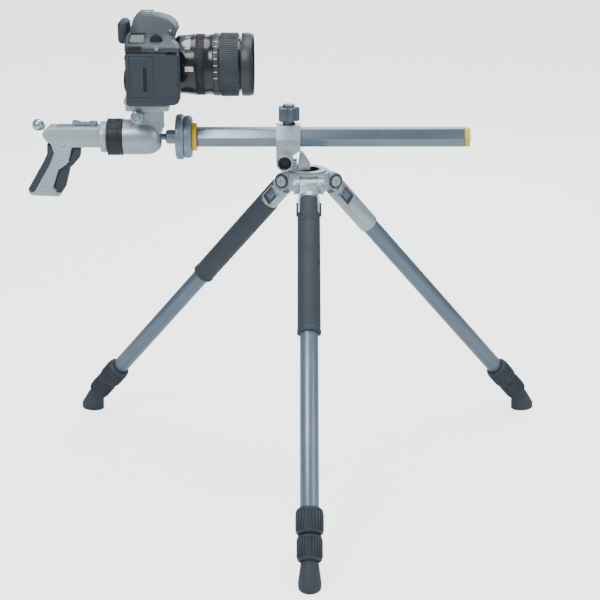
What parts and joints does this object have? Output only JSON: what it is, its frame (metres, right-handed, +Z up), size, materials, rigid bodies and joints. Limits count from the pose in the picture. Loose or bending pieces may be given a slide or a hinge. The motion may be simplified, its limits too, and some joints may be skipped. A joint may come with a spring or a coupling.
{
  "type": "reflex camera on tripod",
  "caption": "Reflex camera with a zoom lens on a pistol-grip ball head, at the end of a level hexagonal column on a three-legged telescopic tripod.",
  "frame": {"origin": "bottom centre of the box around the whole stand; the three soles rest on Z = 0", "axes": "+X along the level column and the way the lens looks, +Z up, the camera's hand grip towards -Y"},
  "size_m": [0.7716, 0.646, 0.6742],
  "materials": {
    "cast_alloy": "sand-cast aluminium alloy with a fine silver-grey coat",
    "machined_alloy": "turned aluminium, satin",
    "anodised_tube": "drawn tube, grey anodised",
    "grey_paint": "dark grey coated metal",
    "soft_rubber": "matt moulded rubber",
    "black_rubber": "ribbed black rubber",
    "black_plastic": "black moulded plastic",
    "camera_shell": "stippled dark grey moulding",
    "yellow_plastic": "yellow moulded plastic",
    "lens_glass": "coated optical glass"
  },
  "bodies": {
    "stand": {"shoulder": "cast_alloy"},
    "swivel": {"swivel_base": "cast_alloy"},
    "lock_lever": {"pivot_lever": "cast_alloy"},
    "clamp": {"column_clamp": "cast_alloy", "pivot_pin": "black_plastic"},
    "clamp_knob": {"clamp_knob": "grey_paint"},
    "column": {"column": "anodised_tube", "column_end_cap": "yellow_plastic", "column_ring": "yellow_plastic", "mount_plate": "grey_paint"},
    "pan_base": {"head_base": "grey_paint"},
    "ball_cup": {"ball_liner": "black_plastic"},
    "head": {"head_housing": "cast_alloy", "grip_body": "cast_alloy", "grip_back_pad": "soft_rubber"},
    "friction_ring": {"friction_ring": "black_rubber"},
    "trigger": {"trigger": "soft_rubber"},
    "rear_knob": {"rear_knob": "machined_alloy"},
    "grip_switch": {"grip_switch": "machined_alloy"},
    "clamp_jaw": {"clamp_jaw": "machined_alloy"},
    "clamp_screw": {"clamp_screw": "machined_alloy"},
    "camera": {"quick_release_plate": "grey_paint", "camera_body": "camera_shell", "top_cover": "camera_shell", "eyecup": "soft_rubber", "lens_barrel": "black_plastic"},
    "shutter_button": {"shutter_button": "black_plastic"},
    "main_dial": {"main_dial": "black_plastic"},
    "card_door": {"card_door": "camera_shell"},
    "focus_ring": {"focus_ring": "black_rubber"},
    "zoom_ring": {"zoom_ring": "black_rubber"},
    "front_group": {"front_barrel": "black_plastic", "front_glass": "lens_glass"},
    "leg_front": {"leg_casting_front": "cast_alloy", "tube_upper_front": "anodised_tube", "leg_sleeve_front": "soft_rubber"},
    "angle_latch_front": {"angle_latch_front": "grey_paint"},
    "lock_upper_front": {"lock_upper_front": "black_rubber"},
    "leg_middle_front": {"tube_middle_front": "anodised_tube"},
    "lock_lower_front": {"lock_lower_front": "black_rubber"},
    "leg_lower_front": {"tube_lower_front": "anodised_tube", "foot_front": "black_rubber"},
    "leg_right": {"leg_casting_right": "cast_alloy", "tube_upper_right": "anodised_tube"},
    "angle_latch_right": {"angle_latch_right": "grey_paint"},
    "lock_upper_right": {"lock_upper_right": "black_rubber"},
    "leg_middle_right": {"tube_middle_right": "anodised_tube"},
    "lock_lower_right": {"lock_lower_right": "black_rubber"},
    "leg_lower_right": {"tube_lower_right": "anodised_tube", "foot_right": "black_rubber"},
    "leg_left": {"leg_casting_left": "cast_alloy", "tube_upper_left": "anodised_tube", "leg_sleeve_left": "soft_rubber"},
    "angle_latch_left": {"angle_latch_left": "grey_paint"},
    "lock_upper_left": {"lock_upper_left": "black_rubber"},
    "leg_middle_left": {"tube_middle_left": "anodised_tube"},
    "lock_lower_left": {"lock_lower_left": "black_rubber"},
    "leg_lower_left": {"tube_lower_left": "anodised_tube", "foot_left": "black_rubber"}
  },
  "joints": [
    {"name": "swivel_turn", "type": "hinge", "parent": "stand", "child": "swivel", "pos_m": [0.01215, 0.10007, 0.44679], "axis": [0, 0, 1], "continuous": true},
    {"name": "lock_lever_lift", "type": "hinge", "parent": "swivel", "child": "lock_lever", "pos_m": [-0.00805, 0.10007, 0.4531], "axis": [0, -1, 0], "range_deg": [0, 10]},
    {"name": "column_tilt", "type": "hinge", "parent": "swivel", "child": "clamp", "pos_m": [-0.02185, 0.10007, 0.46209], "axis": [0, -1, 0], "range_deg": [-10, 70]},
    {"name": "clamp_knob_turn", "type": "hinge", "parent": "clamp", "child": "clamp_knob", "pos_m": [-0.01665, 0.10007, 0.5138], "axis": [0, 0, 1], "continuous": true},
    {"name": "column_slide", "type": "slide", "parent": "clamp", "child": "column", "axis": [-1, 0, 0], "range_m": [-0.1, 0.2]},
    {"name": "head_pan", "type": "hinge", "parent": "column", "child": "pan_base", "pos_m": [-0.21725, 0.10007, 0.4961], "axis": [1, 0, 0], "range_deg": [-120, 120]},
    {"name": "ball_tilt", "type": "hinge", "parent": "pan_base", "child": "ball_cup", "pos_m": [-0.21725, 0.10007, 0.4961], "axis": [0, 1, 0], "range_deg": [-20, 10]},
    {"name": "ball_swing", "type": "hinge", "parent": "ball_cup", "child": "head", "pos_m": [-0.21725, 0.10007, 0.4961], "axis": [0, 0, 1], "range_deg": [-15, 15]},
    {"name": "friction_ring_turn", "type": "hinge", "parent": "head", "child": "friction_ring", "pos_m": [-0.21725, 0.10007, 0.4961], "axis": [1, 0, 0], "range_deg": [-90, 90]},
    {"name": "trigger_squeeze", "type": "hinge", "parent": "head", "child": "trigger", "pos_m": [-0.32085, 0.10007, 0.47909], "axis": [0, 1, 0], "range_deg": [0, 6], "stiffness_Nm_per_rad": 20},
    {"name": "rear_knob_turn", "type": "hinge", "parent": "head", "child": "rear_knob", "pos_m": [-0.36085, 0.10007, 0.50809], "axis": [-0.8984, 0, 0.4392], "continuous": true},
    {"name": "grip_switch_turn", "type": "hinge", "parent": "head", "child": "grip_switch", "pos_m": [-0.29285, 0.10007, 0.5124], "axis": [0, 0, 1], "range_deg": [0, 40]},
    {"name": "clamp_jaw_slide", "type": "slide", "parent": "head", "child": "clamp_jaw", "axis": [0, -1, 0], "range_m": [0, 0.004]},
    {"name": "clamp_screw_turn", "type": "hinge", "parent": "clamp_jaw", "child": "clamp_screw", "pos_m": [-0.22745, 0.10007, 0.53129], "axis": [0, -1, 0], "range_deg": [0, 720]},
    {"name": "plate_slide", "type": "slide", "parent": "head", "child": "camera", "axis": [1, 0, 0], "range_m": [-0.012, 0.012]},
    {"name": "shutter_press", "type": "slide", "parent": "camera", "child": "shutter_button", "axis": [0, 0, -1], "range_m": [0, 0.0012], "stiffness_N_per_m": 400},
    {"name": "main_dial_turn", "type": "hinge", "parent": "camera", "child": "main_dial", "pos_m": [-0.19477, 0.03727, 0.6427], "axis": [0, 1, 0], "continuous": true},
    {"name": "card_door_swing", "type": "hinge", "parent": "camera", "child": "card_door", "pos_m": [-0.19861, 0.02107, 0.55419], "axis": [0, 0, 1], "range_deg": [0, 90]},
    {"name": "focus_turn", "type": "hinge", "parent": "camera", "child": "focus_ring", "pos_m": [-0.14445, 0.10007, 0.5992], "axis": [1, 0, 0], "range_deg": [-60, 60]},
    {"name": "zoom_turn", "type": "hinge", "parent": "camera", "child": "zoom_ring", "pos_m": [-0.11145, 0.10007, 0.5992], "axis": [1, 0, 0], "range_deg": [-70, 0]},
    {"name": "zoom_extend", "type": "slide", "parent": "camera", "child": "front_group", "axis": [1, 0, 0], "range_m": [0, 0.028]},
    {"name": "leg_spread_front", "type": "hinge", "parent": "stand", "child": "leg_front", "pos_m": [0.01215, 0.06757, 0.43169], "axis": [-1, 0, 0], "range_deg": [-42.2, 37.8]},
    {"name": "angle_latch_pull_front", "type": "slide", "parent": "leg_front", "child": "angle_latch_front", "axis": [0, -0.6717, -0.7408], "range_m": [0, 0.0045], "stiffness_N_per_m": 150},
    {"name": "lock_upper_turn_front", "type": "hinge", "parent": "leg_front", "child": "lock_upper_front", "pos_m": [0.01215, 0.06757, 0.43169], "axis": [0, -0.6717, -0.7408], "range_deg": [0, 60]},
    {"name": "middle_extend_front", "type": "slide", "parent": "leg_front", "child": "leg_middle_front", "axis": [0, -0.6717, -0.7408], "range_m": [0, 0.36]},
    {"name": "lock_lower_turn_front", "type": "hinge", "parent": "leg_middle_front", "child": "lock_lower_front", "pos_m": [0.01215, 0.06757, 0.43169], "axis": [0, -0.6717, -0.7408], "range_deg": [0, 60]},
    {"name": "lower_extend_front", "type": "slide", "parent": "leg_middle_front", "child": "leg_lower_front", "axis": [0, -0.6717, -0.7408], "range_m": [0, 0.36]},
    {"name": "leg_spread_right", "type": "hinge", "parent": "stand", "child": "leg_right", "pos_m": [0.04029, 0.11632, 0.43169], "axis": [0.5, -0.866, 0], "range_deg": [-42.2, 37.8]},
    {"name": "angle_latch_pull_right", "type": "slide", "parent": "leg_right", "child": "angle_latch_right", "axis": [0.5817, 0.3359, -0.7408], "range_m": [0, 0.0045], "stiffness_N_per_m": 150},
    {"name": "lock_upper_turn_right", "type": "hinge", "parent": "leg_right", "child": "lock_upper_right", "pos_m": [0.04029, 0.11632, 0.43169], "axis": [0.5817, 0.3359, -0.7408], "range_deg": [0, 60]},
    {"name": "middle_extend_right", "type": "slide", "parent": "leg_right", "child": "leg_middle_right", "axis": [0.5817, 0.3359, -0.7408], "range_m": [0, 0.36]},
    {"name": "lock_lower_turn_right", "type": "hinge", "parent": "leg_middle_right", "child": "lock_lower_right", "pos_m": [0.04029, 0.11632, 0.43169], "axis": [0.5817, 0.3359, -0.7408], "range_deg": [0, 60]},
    {"name": "lower_extend_right", "type": "slide", "parent": "leg_middle_right", "child": "leg_lower_right", "axis": [0.5817, 0.3359, -0.7408], "range_m": [0, 0.36]},
    {"name": "leg_spread_left", "type": "hinge", "parent": "stand", "child": "leg_left", "pos_m": [-0.016, 0.11632, 0.43169], "axis": [0.5, 0.866, 0], "range_deg": [-42.2, 37.8]},
    {"name": "angle_latch_pull_left", "type": "slide", "parent": "leg_left", "child": "angle_latch_left", "axis": [-0.5817, 0.3359, -0.7408], "range_m": [0, 0.0045], "stiffness_N_per_m": 150},
    {"name": "lock_upper_turn_left", "type": "hinge", "parent": "leg_left", "child": "lock_upper_left", "pos_m": [-0.016, 0.11632, 0.43169], "axis": [-0.5817, 0.3359, -0.7408], "range_deg": [0, 60]},
    {"name": "middle_extend_left", "type": "slide", "parent": "leg_left", "child": "leg_middle_left", "axis": [-0.5817, 0.3359, -0.7408], "range_m": [0, 0.36]},
    {"name": "lock_lower_turn_left", "type": "hinge", "parent": "leg_middle_left", "child": "lock_lower_left", "pos_m": [-0.016, 0.11632, 0.43169], "axis": [-0.5817, 0.3359, -0.7408], "range_deg": [0, 60]},
    {"name": "lower_extend_left", "type": "slide", "parent": "leg_middle_left", "child": "leg_lower_left", "axis": [-0.5817, 0.3359, -0.7408], "range_m": [0, 0.36]}
  ],
  "couplings": [
    {"joint": "clamp_jaw_slide", "follows": "clamp_screw_turn", "m_per_rad": 0.00031831},
    {"joint": "zoom_extend", "follows": "zoom_turn", "m_per_rad": -0.022918}
  ]
}
